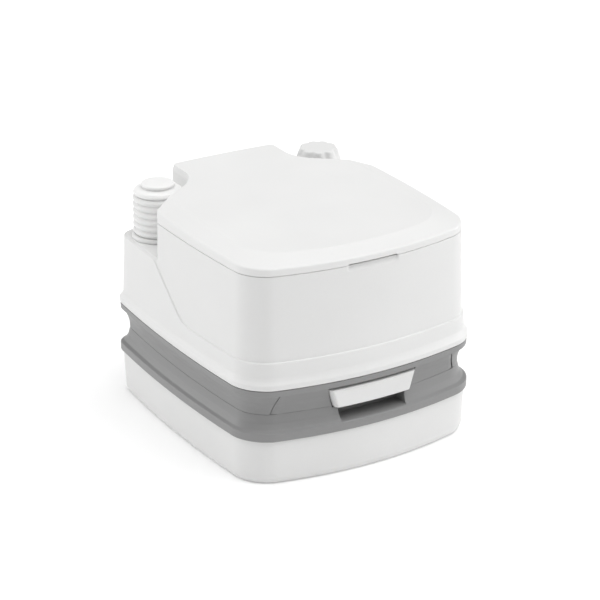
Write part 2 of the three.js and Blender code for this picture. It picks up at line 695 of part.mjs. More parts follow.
const NOZZLE = { x: -60, y: 78, low: 262, high: 286, radius: 4 };

const SEAT = {
  low: 301.5,
  shoulder: 305.3,
  high: 310.5,
  inset: 16.5,
  topInset: 30,
  notch: 5,
  rear: 178,
  hole: { rx: 98, ry: 118 },
};

/** The seat's outer shape over [z, inset] levels, between the corner units; grow moves the cut sides in. */
function seatBlank(levels, grow) {
  const cuts = [-1, 1].map((side) => prism(cornerNotch(side, SEAT.notch + grow), -1, FAR + 1));
  const rear = box(-FAR, FAR, SEAT.rear - grow, FAR, -1, FAR + 1);
  return stack(levels).subtract(cuts[0]).subtract(cuts[1]).subtract(rear);
}

function seat() {
  const { low, shoulder, high, inset, topInset, hole } = SEAT;
  const oval = (z, grow) => ({ z, points: ellipse(BOWL_MIDDLE, hole.rx + grow, hole.ry + grow) });
  const wall = WALL + 1;
  const hollow = seatBlank([
    [low - 1, inset + wall], [shoulder - WALL + 1, inset + wall], [high - WALL, topInset + wall],
  ], wall).subtract(skin([oval(low - 2, WALL), oval(high, WALL)]));
  const edge = 6;
  let body = seatBlank([[low, inset], [shoulder, inset], [high, topInset]], 0)
    .subtract(hollow)
    .subtract(skin([oval(low - 1, 0), oval(high - WALL, 0), oval(high + 1, edge)]));
  const { y, z } = HINGE;
  [-1, 1].forEach((side) => {
    const span = mirrored(EARS.seat, side);
    const arm = ear(...span, [SEAT.rear - WALL, y, z - 5, z + 2]);
    body = body.add(arm.subtract(bar(span[0] - 1, span[1] + 1, y, z, HINGE.bore, 12)));
  });
  add('seat', body, 'lidWhite');

  const pad = { x: 150, front: -120, rear: 40, radius: 6 };
  const pads = [[-pad.x, pad.front], [pad.x, pad.front], [-pad.x, pad.rear], [pad.x, pad.rear]];
  pads.forEach(([px, py], i) => {
    add(`seat_buffer_${i + 1}`, post(px, py, DECK + GAP, low - GAP, pad.radius, pad.radius, 12), 'rubber');
  });
  const stud = { x: 125, y: -130, height: 4, radius: 5 };
  [-1, 1].forEach((side, i) => {
    const buffer = post(side * stud.x, stud.y, high + GAP, high + stud.height, stud.radius, stud.radius, 12);
    add(`lid_buffer_${i + 1}`, buffer, 'rubber');
  });
}

function hingePins() {
  const { y, z, pin } = HINGE;
  add('hinge_pin_left', bar(...mirrored(EARS.pin, -1), y, z, pin, 12), 'steel');
  add('hinge_pin_right', bar(...mirrored(EARS.pin, 1), y, z, pin, 12), 'steel');
}

const LID = {
  chamfer: 28,
  rounder: 24,
  edge: 3,
  slot: [34, 44],
  slotTop: 318,
  slotFront: 193,
  armHalf: 4,
  armTop: 328,
};

function lid() {
  const rise = (z) => (p) => z + (p.y - LID_RISE_FROM) * LID_RISE;
  const outer = BODY_TOP_INSET;
  const outside = stack([
    [LID_BOTTOM, outer], [rise(LID_LIP_TOP), outer], [rise(LID_LIP_TOP + 1.5), outer + LID.edge, LID.edge],
    [rise(LID_FRONT_TOP - 1), outer + LID.chamfer - LID.edge, LID.rounder],
    [rise(LID_FRONT_TOP), outer + LID.chamfer + LID.edge, LID.rounder],
  ]);
  const full = stack([[LID_BOTTOM, outer], [rise(LID_FRONT_TOP), outer]]);
  const tongueHalf = NOTCH.x - NOTCH.radius + 1;
  const tongue = box(-tongueHalf, tongueHalf, CORNER_UNIT.y, FAR, 0, FAR);
  const underTop = LID_FRONT_TOP - WALL;
  let hollow = stack([
    [0, outer + WALL], [rise(LID_LIP_TOP - 1.5), outer + WALL],
    [rise(underTop - 1), outer + LID.chamfer - 1, LID.rounder],
    [rise(underTop), outer + LID.chamfer + LID.edge, LID.rounder],
  ]).add(stack([[0, outer + WALL], [rise(underTop), outer + WALL]]).intersect(tongue));
  let shell = outside.add(full.intersect(tongue));
  [-1, 1].forEach((side) => {
    hollow = hollow.subtract(prism(cornerNotch(side, WALL), 0, FAR));
    shell = shell.subtract(prism(cornerNotch(side, 0), 0, FAR));
  });
  let body = shell.subtract(hollow);
  const { y, z, bore } = HINGE;
  [-1, 1].forEach((side) => {
    const span = mirrored(EARS.lid, side);
    const arm = ear(...span, [y - LID.armHalf, y + LID.armHalf, z, LID.armTop]);
    body = body
      .subtract(box(...mirrored(LID.slot, side), LID.slotFront, FAR, 0, LID.slotTop))
      .add(arm.subtract(bar(span[0] - 1, span[1] + 1, y, z, bore, 12)));
  });
  add('lid', body, 'lidWhite');
}

function pump() {
  const x = -CORNER_UNIT.x;
  const { y } = CORNER_UNIT;
  const foot = SHELF + GAP;
  const collar = { inner: 34, outer: 38.2, shoulder: SHELF + 4, top: SHELF + 6 };
  add('pump_collar', turned(x, y, [
    [collar.inner, foot], [collar.outer, foot], [collar.outer, collar.shoulder],
    [collar.outer - 1.6, collar.top], [collar.inner, collar.top],
  ], 24), 'white');

  const bellows = { low: collar.top + 0.4, high: 309, outer: 36.2, inner: 32.8, wall: 2, ribs: 6, mouth: 27 };
  const pitch = (bellows.high - bellows.low) / bellows.ribs;
  const outside = [];
  for (let i = 0; i < bellows.ribs; i += 1) {
    const start = bellows.low + i * pitch;
    outside.push(
      [bellows.inner, start], [bellows.outer, start + 0.3 * pitch], [bellows.outer, start + 0.7 * pitch],
    );
  }
  outside.push([bellows.inner, bellows.high]);
  const inner = bellows.inner - bellows.wall;
  add('pump_bellows', turned(x, y, [
    ...outside, [bellows.mouth, bellows.high], [bellows.mouth, bellows.high - bellows.wall],
    [inner, bellows.high - bellows.wall], [inner, bellows.low],
  ], 20), 'white');

  const disc = { low: bellows.high + GAP, edge: 35.8, soft: 34.3, top: 317.5 };
  const button = { waist: 24, radius: 25.5, low: 321.5, shoulder: 325.5, top: 327 };
  add('pump_top', turned(x, y, [
    [0, disc.low], [disc.soft, disc.low], [disc.edge, 311.5], [32, 316], [button.waist, disc.top],
    [button.waist, button.low - 1.5], [button.radius, button.low], [button.radius, button.shoulder],
    [button.radius - 2, button.top], [0, button.top],
  ], 24), 'white');

  const tube = { bore: 5.5, outer: 8, low: 150, flange: 12.5, top: SHELF + 2.5 };
  add('pump_intake_tube', turned(x, y, [
    [tube.bore, tube.low], [tube.outer, tube.low], [tube.outer, foot],
    [tube.flange, foot], [tube.flange, tube.top], [tube.bore, tube.top],
  ], 16), 'innerPlastic');
  const valve = { bore: 8.4, outer: 12, top: 148, shoulder: 141, low: 138.5, hole: 2.5 };
  add('pump_check_valve', turned(x, y, [
    [valve.bore, valve.top], [valve.outer, valve.top], [valve.outer, valve.shoulder], [4, valve.low],
    [valve.hole, valve.low], [valve.hole, valve.shoulder], [valve.bore, valve.top - 4],
  ], 16), 'innerPlastic');

  const route = new THREE.CatmullRomCurve3([
    new THREE.Vector3(x + 26, y - 14, SHELF - 0.6),
    new THREE.Vector3(x + 26, y - 14, SHELF - 14),
    new THREE.Vector3(-98, 118, 214),
    new THREE.Vector3(-84, 98, 226),
    new THREE.Vector3(NOZZLE.x - 3, NOZZLE.y + 20, 246),
    new THREE.Vector3(NOZZLE.x - 2, NOZZLE.y + 22, 266),
  ]);
  const hoseRadius = 4.6;
  const section = new THREE.Shape().absarc(0, 0, hoseRadius, 0, 2 * Math.PI);
  const options = { steps: 16, curveSegments: 4, extrudePath: route, bevelEnabled: false };
  add('flush_hose', solid(new THREE.ExtrudeGeometry(section, options)), 'innerPlastic');
}

function filler() {
  const { x, y } = CORNER_UNIT;
  const lobes = 9;
  const ring = (radius, depth) => {
    const count = lobes * 6;
    return Array.from({ length: count }, (_, i) => {
      const angle = (2 * Math.PI * i) / count;
      const r = radius - depth * (0.5 - 0.5 * Math.cos(lobes * angle)) ** 2;
      return new THREE.Vector2(x + r * Math.cos(angle), y + r * Math.sin(angle));
    });
  };
  const bore = { radius: 26.6, top: 317.8 };
  const cap = skin([
    { z: 302, points: ring(32, 0) }, { z: 316, points: ring(32.5, 0) }, { z: 318, points: ring(31.5, 1) },
    { z: 327, points: ring(28.5, 3.2) }, { z: HEIGHT, points: ring(26, 3.2) },
  ]).subtract(post(x, y, 300, bore.top, bore.radius, bore.radius, 24));
  add('fill_cap', cap, 'white');
  const gasket = { inner: 22.3, outer: 26.2, low: 314.3, high: 317.4 };
  add('fill_cap_gasket', turned(x, y, [
    [gasket.inner, gasket.low], [gasket.outer, gasket.low],
    [gasket.outer, gasket.high], [gasket.inner, gasket.high],
  ], 24), 'rubber');
}

wasteTankBase();
wasteTankTop();
slideValve();
pourOutSpout();
vent();
rearLatch();
flushTankFloor();
flushTankHousing();
bowl();
seat();
hingePins();
lid();
pump();
filler();

export default toilet;
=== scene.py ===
"""Looks of the portable cassette toilet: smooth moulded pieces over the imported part, in its own frame.

Shapes are worked out in millimetres and become metres when a mesh is made.
"""

import json
import math

import bmesh
import bpy
import numpy as np
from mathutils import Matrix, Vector


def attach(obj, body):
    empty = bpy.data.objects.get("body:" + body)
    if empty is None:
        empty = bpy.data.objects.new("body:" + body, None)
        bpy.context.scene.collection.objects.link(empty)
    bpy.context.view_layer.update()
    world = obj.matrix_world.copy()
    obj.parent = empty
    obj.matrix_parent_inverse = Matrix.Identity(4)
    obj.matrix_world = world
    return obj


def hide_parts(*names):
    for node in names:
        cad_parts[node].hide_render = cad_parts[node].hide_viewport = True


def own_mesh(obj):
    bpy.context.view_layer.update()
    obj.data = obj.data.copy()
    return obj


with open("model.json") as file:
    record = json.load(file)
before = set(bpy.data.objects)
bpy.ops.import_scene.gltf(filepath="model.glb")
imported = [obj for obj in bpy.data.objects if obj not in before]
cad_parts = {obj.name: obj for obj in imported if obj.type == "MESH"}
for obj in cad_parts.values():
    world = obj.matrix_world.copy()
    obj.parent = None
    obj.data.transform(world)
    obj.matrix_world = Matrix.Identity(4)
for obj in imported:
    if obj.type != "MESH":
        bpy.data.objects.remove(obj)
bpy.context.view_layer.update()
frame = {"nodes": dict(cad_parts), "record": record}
MM = 0.001
FAR = 400.0
SIDES = (("left", -1), ("right", 1))

# The plan outline that every level of the body shares.
HALF_WIDTH, HALF_DEPTH = 191.5, 213.5
SIDE_BOW, SIDE_MIDDLE = 11.5, -25.0
FRONT_BOW, REAR_BOW = 30.8, 9.7
FRONT_CORNER, REAR_CORNER = 40.0, 22.0
CORNER_SHRINK, CORNER_LEAST = 0.6, 4.0
HANDLE_OF_ARC = 0.5523
MEETING_ROUNDS = 12

# How finely lines and rings are divided.
CORNER_POINTS, END_POINTS, SIDE_POINTS = 80, 200, 400
HALF_RING_POINTS = 240
NOTCHED_SIDE_POINTS, NOTCHED_REAR_POINTS = 170, 26

# The waste tank, from the ground up. The waist above its neck is given as (inset, height, rounding).
BASE_TOP, TANK_TOP_START = 64.5, 65.0
NECK_Z, NECK_INSET = 99.7, 12.0
DECK_OF_TANK = 126.0
WAIST = [(11.6, 110, 20), (9.6, 118, 14), (6.9, 125, 10)]
OUTLET_Y, OUTLET_R = -20.0, 46.0

# The front panel with its upright folds, and the valve's handle in it.
PANEL_LOW_X, PANEL_LOW_Z = 148.0, NECK_Z - 3
PANEL_HIGH_X, PANEL_HIGH_Z = 137.0, 131.0
PANEL_FOLDS = np.array([72.0, 96.0, 138.0, 156.0])
HANDLE_LOW_X, HANDLE_LOW_Z = 60.0, 98.5
HANDLE_HIGH_X, HANDLE_HIGH_Z = 69.0, 127.0
HANDLE_BACK = -199.0

# The flush tank, from its floor up to its deck.
FLOOR_UNDER, LIP_BOTTOM, LIP_TOP = 131.0, 130.6, 139.2
RIM_BOTTOM = 139.5
WALL_FOOT, FOOT_INSET = 156.0, 4.8
CREASE, CREASE_INSET, LEDGE = 178.0, 8.0, 1.6
SHELF = 245.0
DECK, WALL_INSET = 298.0, 11.0
WALL_SLOPE = (WALL_INSET - CREASE_INSET) / (DECK - CREASE)
BOWL_Y, BOWL_HOLE = -38.0, (116, 136)

# The corner units, which are the pump on the left and the filler on the right, and the notch round each.
UNIT_X, UNIT_Y = 133.0, 151.0
NOTCH_X, NOTCH_Y, NOTCH_R, NOTCH_TURN = 140.0, 165.0, 55.0, math.radians(55)

# The lid, which rises towards the rear and swells towards its middle line, and the hinge at its rear edge.
SEAM = 298.3
LID_LIP, LID_TOP, LID_CHAMFER, LID_WALL = 10.2, 19.0, 28.0, 3.0
LID_RISE, LID_FROM, LID_CROWN = 0.0300, -190.0, 0.5
HINGE_Y, HINGE_Z, HINGE_R = 190.0, 308.5, 6.5

# The pour-out spout: the middle of its upright pipe, the height of its level pipe and their radii.
SPOUT_X, SPOUT_Y, SPOUT_Z = 128, 176, 105
PIPE_BORE, PIPE_R = 16, 19


# ---------------------------------------------------------------- lines and rings


def spread(line, count):
    """count points spread evenly along a line of points."""
    along = np.concatenate([[0], np.cumsum(np.hypot(*np.diff(line, axis=0).T))])
    at = np.linspace(0, along[-1], count)
    return np.stack([np.interp(at, along, line[:, i]) for i in (0, 1)], axis=1)


def bend_round(start, tip, end):
    """A smooth curve from start to end that heads for tip and comes from it."""
    t = np.linspace(0, 1, CORNER_POINTS)[:, None]
    c1, c2 = start + (tip - start) * HANDLE_OF_ARC, end + (tip - end) * HANDLE_OF_ARC
    return (1 - t) ** 3 * start + 3 * (1 - t) ** 2 * t * c1 + 3 * (1 - t) * t**2 * c2 + t**3 * end


def half_line(inset, rounder=0.0):
    """The right half of the plan outline, moved in by an inset, as a fine line.

    It runs from front middle to rear middle. The radius of the front corner grows by rounder and that of
    the rear one by half of it.
    """
    a, b = HALF_WIDTH - inset, HALF_DEPTH - inset

    def side_x(y):
        return a - SIDE_BOW * ((y - SIDE_MIDDLE) / b) ** 2

    def end_y(sign, bow, x):
        return sign * (b - bow * (x / a) ** 2)

    def corner(sign, bow, radius):
        x = a
        for _ in range(MEETING_ROUNDS):
            x = side_x(end_y(sign, bow, x))
        start = np.array([x - radius, end_y(sign, bow, x - radius)])
        y = end_y(sign, bow, x) - sign * radius
        end = np.array([side_x(y), y])
        u = -sign * 2 * bow * start[0] / a**2
        v = -2 * SIDE_BOW * (y - SIDE_MIDDLE) / b**2
        reach = (end[0] - start[0] + v * (start[1] - end[1])) / (1 - u * v)
        return bend_round(start, start + reach * np.array([1, u]), end)

    front = corner(-1, FRONT_BOW, max(FRONT_CORNER - CORNER_SHRINK * inset + rounder, CORNER_LEAST))
    rear = corner(1, REAR_BOW, max(REAR_CORNER - CORNER_SHRINK * inset + rounder / 2, CORNER_LEAST))[::-1]
    front_x = np.linspace(0, front[0, 0], END_POINTS)[:-1]
    y = np.linspace(front[-1, 1], rear[0, 1], SIDE_POINTS)[1:-1]
    rear_x = np.linspace(rear[-1, 0], 0, END_POINTS)[1:]
    return np.concatenate([
        np.stack([front_x, end_y(-1, FRONT_BOW, front_x)], 1), front,
        np.stack([side_x(y), y], 1), rear,
        np.stack([rear_x, end_y(1, REAR_BOW, rear_x)], 1),
    ])


def arc(centre, radius, start, end, count):
    angles = np.linspace(start, end, count)
    return np.stack([centre[0] + radius * np.cos(angles), centre[1] + radius * np.sin(angles)], 1)


def heading(p):
    return math.atan2(p[1], p[0])


def notched_line(inset, grow=0.0, soft=(4.0, 4.0), rounder=0.0, rear_inset=None, rear_y=None):
    """Half an outline with the space round the rear corner cut out of it, front middle to rear middle.

    The cut follows a straight edge from the side, an arc round the notch's centre and an edge that runs to
    the rear. Soft gives the radii of the corners at its two ends. The rear is straight at rear_y if that is
    given, and follows the outline otherwise.
    """
    side_soft, rear_soft = soft
    line = half_line(inset, rounder)
    centre, radius = np.array([NOTCH_X, NOTCH_Y]), NOTCH_R + grow
    inwards = -np.array([math.cos(NOTCH_TURN), math.sin(NOTCH_TURN)])
    bend = centre + inwards * radius

    # The pivot is as far from the side as from the straight edge.
    along = np.gradient(line, axis=0)
    along /= np.hypot(*along.T)[:, None]
    inner = line + np.stack([-along[:, 1], along[:, 0]], 1) * side_soft
    clear = (inner - bend) @ inwards - side_soft
    clear[line[:, 1] < 0] = 1.0
    i = int(np.argmax(clear < 0))
    t = clear[i - 1] / (clear[i - 1] - clear[i])
    pivot = inner[i - 1] + t * (inner[i] - inner[i - 1])
    foot = line[i - 1] + t * (line[i] - line[i - 1])

    side = spread(np.concatenate([line[:i], foot[None]]), NOTCHED_SIDE_POINTS)
    first = arc(pivot, side_soft, heading(foot - pivot), heading(-inwards), 8)
    straight = np.linspace(pivot - inwards * side_soft, bend, 24)
    bite = arc(centre, radius, NOTCH_TURN - math.pi, -math.pi, 36)
    back_x = NOTCH_X - radius
    if rear_y is None:
        rear = half_line(inset if rear_inset is None else rear_inset, rounder)
        rear = rear[(rear[:, 1] > 0) & (rear[:, 0] <= back_x - rear_soft)]
    else:
        rear = np.array([[back_x - rear_soft, rear_y], [0, rear_y]])
    turn = np.array([back_x - rear_soft, rear[0, 1] - rear_soft])
    back = np.linspace([back_x, NOTCH_Y], [back_x, turn[1]], 8)
    last = arc(turn, rear_soft, 0, heading(rear[0] - turn), 8)
    cut = [stretch[:-1] for stretch in (side, first, straight, bite, back, last)]
    return np.concatenate([*cut, spread(rear, NOTCHED_REAR_POINTS)])


def both(right, left=None):
    """A whole ring from its right half and the left one, which is given as a right half too."""
    left = right if left is None else left
    return np.concatenate([right, left[-2:0:-1] * [-1, 1]])


def full_ring(inset):
    """The whole plan outline, moved in by an inset, as a ring."""
    return both(spread(half_line(inset), HALF_RING_POINTS))


def lift(ring, z):
    """A flat ring raised to z, which is a number or one number for each point."""
    return np.column_stack([ring, np.broadcast_to(z, len(ring))])


def oval(ring, y, rx, ry):
    """The ellipse that a ring's points fall on when they move straight towards its middle."""
    away = ring - [0, y]
    return [0, y] + away / np.hypot(away[:, 0] / rx, away[:, 1] / ry)[:, None]


def rounded(corners, steps=5):
    """A profile through (across, up, radius) corners, each rounded to its radius."""
    made = []
    for k, (across, up, radius) in enumerate(corners):
        p = np.array([across, up], float)
        if radius == 0 or k in (0, len(corners) - 1):
            made.append(p)
            continue
        before, after = (np.array(corners[k + s][:2], float) - p for s in (-1, 1))
        shortest = min(np.hypot(*before), np.hypot(*after))
        u, v = before / np.hypot(*before), after / np.hypot(*after)
        half = math.acos(max(-1.0, min(1.0, float(u @ v)))) / 2
        reach = min(radius / math.tan(half), 0.49 * shortest)
        radius = reach * math.tan(half)
        centre = p + (u + v) / np.hypot(*(u + v)) * radius / math.sin(half)
        start, end = heading(p + u * reach - centre), heading(p + v * reach - centre)
        sweep = (end - start + math.pi) % (2 * math.pi) - math.pi
        made += list(arc(centre, radius, start, start + sweep, steps + 1))
    return np.array(made)


def smooth_step(low, high, x):
    """A share that eases from 0 at low to 1 at high. Low may be the larger of the two."""
    t = np.clip((np.asarray(x, float) - low) / (high - low), 0, 1)
    return t * t * (3 - 2 * t)


# ---------------------------------------------------------------- meshes


def skin(rings, closed=False):
    """Points and faces over rings of points. A closed skin goes round from the last ring to the first."""
    count, many = len(rings[0]), len(rings)
    step = np.arange(count)
    after = (step + 1) % count
    faces = []
    for j in range(many if closed else many - 1):
        a, b = j * count, (j + 1) % many * count
        faces.append(np.stack([a + step, a + after, b + after, b + step], 1))
    faces = [tuple(f) for f in np.concatenate(faces).tolist()]
    if not closed:
        faces.append(tuple(range(count))[::-1])
        faces.append(tuple(range((many - 1) * count, many * count)))
    return np.concatenate(rings), faces


def joined(*parts):
    """Several bodies' points and faces as one."""
    points, faces, start = [], [], 0
    for p, f in parts:
        points.append(np.asarray(p, float))
        faces += [tuple(i + start for i in face) for face in f]
        start += len(p)
    return np.concatenate(points), faces


def block(x0, x1, y0, y1, z0, z1):
    plan = np.array([(x0, y0), (x1, y0), (x1, y1), (x0, y1)], float)
    return skin([lift(plan, z0), lift(plan, z1)])


def front_prism(face, y0, y1):
    """A shape drawn on X and Z, reaching from y0 back to y1."""
    face = np.array(face, float)
    return skin([np.column_stack([face[:, 0], np.full(len(face), y), face[:, 1]]) for y in (y0, y1)])


def turned(profile, x=0.0, y=0.0, sides=96):
    """A body of revolution about an upright line, from (radius, z) points that go round its section."""
    angles = np.arange(sides) * 2 * math.pi / sides
    rings = [
        np.column_stack([x + r * np.cos(angles), y + r * np.sin(angles), np.full(sides, z)])
        for r, z in profile
    ]
    return skin(rings, closed=profile[0][0] > 0.01)


def cylinder(radius, z0, z1, x=0.0, y=0.0, sides=48):
    """An upright solid round bar."""
    return turned([(0, z0), (radius, z0), (radius, z1), (0, z1)], x, y, sides)


def along_x(part, x, y, z):
    """A body made upright about the origin, laid along X with its low end at x."""
    points, faces = part
    return np.column_stack([points[:, 2] + x, points[:, 0] + y, points[:, 1] + z]), faces


def lug(x_ends, y_ends, z_ends, eye_radius, eye_y, eye_z, sides=48):
    """A block with a solid round eye across it, as wide as the block."""
    x0, x1 = sorted(x_ends)
    eye = along_x(cylinder(eye_radius, 0, x1 - x0, sides=sides), x0, eye_y, eye_z)
    return joined(block(x0, x1, *y_ends, *z_ends), eye)


def solid_of(part, name="solid"):
    """An object from points and faces, without doubled points or slivers and facing outwards."""
    points, faces = part
    mesh = bpy.data.meshes.new(name)
    mesh.from_pydata((np.asarray(points) * MM).tolist(), [], faces)
    bm = bmesh.new()
    bm.from_mesh(mesh)
    bmesh.ops.remove_doubles(bm, verts=bm.verts, dist=0.002 * MM)
    bmesh.ops.dissolve_degenerate(bm, dist=0.001 * MM, edges=bm.edges)
    bmesh.ops.recalc_face_normals(bm, faces=bm.faces)
    bm.to_mesh(mesh)
    bm.free()
    made = bpy.data.objects.new(name, mesh)
    bpy.context.scene.collection.objects.link(made)
    return made


def bake(piece):
    """Replaces a piece's mesh with what its modifiers make of it."""
    bpy.context.view_layer.update()
    evaluated = piece.evaluated_get(bpy.context.evaluated_depsgraph_get())
    old = piece.data
    piece.data = bpy.data.meshes.new_from_object(evaluated)
    piece.modifiers.clear()
    bpy.data.meshes.remove(old)


def carved(part, *steps):
    """A body after steps of ("UNION" or "DIFFERENCE", other body)."""
    target = solid_of(part)
    tools = []
    for operation, other in steps:
        tool = solid_of(other)
        tools.append(tool)
        modifier = target.modifiers.new("cut", "BOOLEAN")
        modifier.operation = operation
        modifier.solver = "EXACT"
        modifier.object = tool
    bake(target)
    mesh = target.data
    points = np.zeros(len(mesh.vertices) * 3)
    mesh.vertices.foreach_get("co", points)
    faces = [tuple(p.vertices) for p in mesh.polygons]
    for thing in [target, *tools]:
        bpy.data.objects.remove(thing)
    return points.reshape(-1, 3) / MM, faces


def without(part, *others):
    """A body with other bodies cut out of it."""
    return carved(part, *(("DIFFERENCE", other) for other in others))


def soften(piece, sharp, bevel):
    """Bevels the edges that are sharper than an angle, if a bevel is given, and shades all else smooth."""
    if bevel:
        modifier = piece.modifiers.new("edges", "BEVEL")
        modifier.width = bevel * MM
        modifier.segments = 3
        modifier.limit_method = "ANGLE"
        modifier.angle_limit = math.radians(sharp)
        modifier.miter_outer = "MITER_ARC"
        bake(piece)
    bm = bmesh.new()
    bm.from_mesh(piece.data)
    for face in bm.faces:
        face.smooth = True
    for edge in bm.edges:
        if len(edge.link_faces) == 2:
            edge.smooth = edge.calc_face_angle(0) < math.radians(sharp)
    bm.to_mesh(piece.data)
    bm.free()
    even = piece.modifiers.new("even shading", "WEIGHTED_NORMAL")
    even.keep_sharp = True
    even.weight = 50


def place(name, part, body, slot, stands_for=(), sharp=38.0, bevel=0.0):
    """Makes a piece that rides on a CAD body and stands for CAD nodes."""
    piece = solid_of(part, name)
    soften(piece, sharp, bevel)
    piece.data.materials.append(FINISH[slot])
    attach(piece, body)
    if stands_for:
        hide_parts(*stands_for)
    return piece


# ---------------------------------------------------------------- finishes


# The sockets of a mix node that take and give colours.
MIX_COLOUR_A, MIX_COLOUR_B, MIX_COLOUR_OUT = 6, 7, 2


def moulded(name, colour, roughness, grain=0.08, speck=0.012, scuff=0.05, coat=0.0, under=0.0):
    """Moulded plastic: fine leather grain, patchy gloss and faint rubbed streaks."""
    paint = bpy.data.materials.new(name)
    paint.use_nodes = True
    nodes, links = paint.node_tree.nodes, paint.node_tree.links
    shader = nodes["Principled BSDF"]
    shader.inputs["IOR"].default_value = 1.5
    shader.inputs["Specular IOR Level"].default_value = 0.42
    shader.inputs["Coat Weight"].default_value = coat
    shader.inputs["Coat Roughness"].default_value = 0.12
    if under:
        shader.inputs["Subsurface Weight"].default_value = under
        shader.inputs["Subsurface Radius"].default_value = (0.004, 0.004, 0.0038)
        shader.inputs["Subsurface Scale"].default_value = 1.0
    where = nodes.new("ShaderNodeTexCoord")

    def noise(scale, detail, stretch=(1, 1, 1)):
        bend = nodes.new("ShaderNodeMapping")
        bend.inputs["Scale"].default_value = stretch
        links.new(where.outputs["Object"], bend.inputs["Vector"])
        made = nodes.new("ShaderNodeTexNoise")
        made.inputs["Scale"].default_value = scale
        made.inputs["Detail"].default_value = detail
        links.new(bend.outputs["Vector"], made.inputs["Vector"])
        return made.outputs["Fac"]

    def mapped(source, low, high, to_low, to_high):
        made = nodes.new("ShaderNodeMapRange")
        ends = {"From Min": low, "From Max": high, "To Min": to_low, "To Max": to_high}
        for key, value in ends.items():
            made.inputs[key].default_value = value
        links.new(source, made.inputs["Value"])
        return made.outputs["Result"]

    def combined(operation, first, second):
        made = nodes.new("ShaderNodeMath")
        made.operation = operation
        links.new(first, made.inputs[0])
        links.new(second, made.inputs[1])
        return made.outputs[0]

    def relief(strength, distance, height, under_it=None):
        made = nodes.new("ShaderNodeBump")
        made.inputs["Strength"].default_value = strength
        made.inputs["Distance"].default_value = distance
        links.new(height, made.inputs["Height"])
        if under_it:
            links.new(under_it, made.inputs["Normal"])
        return made.outputs["Normal"]

    patches = noise(9, 3)
    specks = noise(420, 2)
    streaks = noise(26, 4, (1.0, 1.0, 9.0))
    shade = combined(
        "MULTIPLY",
        mapped(patches, 0.3, 0.7, 1 - speck, 1 + speck),
        mapped(specks, 0.35, 0.75, 1.0, 1 - speck),
    )
    tint = nodes.new("ShaderNodeMix")
    tint.data_type = "RGBA"
    tint.blend_type = "MULTIPLY"
    tint.inputs["Factor"].default_value = 1.0
    tint.inputs[MIX_COLOUR_A].default_value = (*colour, 1)
    links.new(shade, tint.inputs[MIX_COLOUR_B])
    links.new(tint.outputs[MIX_COLOUR_OUT], shader.inputs["Base Color"])

    gloss = combined(
        "ADD",
        mapped(patches, 0.3, 0.7, roughness - 0.03, roughness + 0.03),
        mapped(streaks, 0.55, 0.8, 0.0, scuff),
    )
    links.new(gloss, shader.inputs["Roughness"])

    leather = relief(grain, 0.0002, noise(1500, 2))
    waves = relief(0.03, 0.002, noise(14, 1), leather)
    links.new(waves, shader.inputs["Normal"])
    return paint


def metal(name, colour, roughness):
    """Drawn metal: the plastic's grain and streaks, made stronger, on a bare metal surface."""
    paint = moulded(name, colour, roughness, grain=0.15, speck=0.03, scuff=0.12)
    paint.node_tree.nodes["Principled BSDF"].inputs["Metallic"].default_value = 1.0
    return paint


FINISH = {
    "white_shell": moulded("white shell", (0.735, 0.735, 0.73), 0.42, under=0.05),
    "white_lid": moulded("white lid", (0.755, 0.755, 0.75), 0.44, under=0.05),
    "white_bowl": moulded("white bowl", (0.82, 0.82, 0.81), 0.16, grain=0.01, coat=0.4),
    "white_bellows": moulded("white bellows", (0.80, 0.80, 0.795), 0.5, grain=0.12, under=0.08),
    "grey_shell": moulded("grey shell", (0.25, 0.25, 0.25), 0.42, grain=0.12, speck=0.02),
    "inner_plastic": moulded("inner plastic", (0.60, 0.60, 0.59), 0.5, speck=0.02),
    "soft_seal": moulded("soft seal", (0.10, 0.14, 0.12), 0.7, grain=0.2, speck=0.05),
    "rubber": moulded("rubber", (0.035, 0.035, 0.036), 0.75, grain=0.25, speck=0.06),
    "steel": metal("drawn steel", (0.62, 0.63, 0.65), 0.28),
}
for row in frame["record"]["subparts"]:
    node = frame["nodes"][row["node"]]
    node.data.materials.clear()
    node.data.materials.append(FINISH[row["material_slot"]])


# ---------------------------------------------------------------- waste tank


def make_base():
    """The white lower half of the waste tank, open at the top."""
    profile = rounded([
        (60, 0, 0), (9.0, 0, 4), (5.6, 8, 10), (3.5, BASE_TOP, 0.8), (6.5, BASE_TOP, 0.8), (8.8, 14, 8),
        (14, 3, 6), (60, 3, 0),
    ])
    rings = [lift(full_ring(inset), z) for inset, z in profile]
    place("base_shell", skin(rings), "waste_tank", "white_shell", ["waste_tank_base"])


def slanted(low, high):
    """A four-sided face between a low and a high edge, each given as (half width, height)."""
    (low_x, low_z), (high_x, high_z) = low, high
    return [(-low_x, low_z), (low_x, low_z), (high_x, high_z), (-high_x, high_z)]


def front_y(inset, x):
    """How far forward the plan outline reaches at each place across."""
    line = half_line(inset)
    line = line[: int(np.argmax(line[:, 0])) + 1]
    return np.interp(np.abs(x), line[:, 0], line[:, 1])


def facet_y(inset, x):
    """The front of the panel, which is flat between upright folds on each side of the handle."""
    if abs(x) <= PANEL_FOLDS[0]:
        return float(front_y(inset, x))
    return float(np.interp(abs(x), PANEL_FOLDS, front_y(inset, PANEL_FOLDS)))


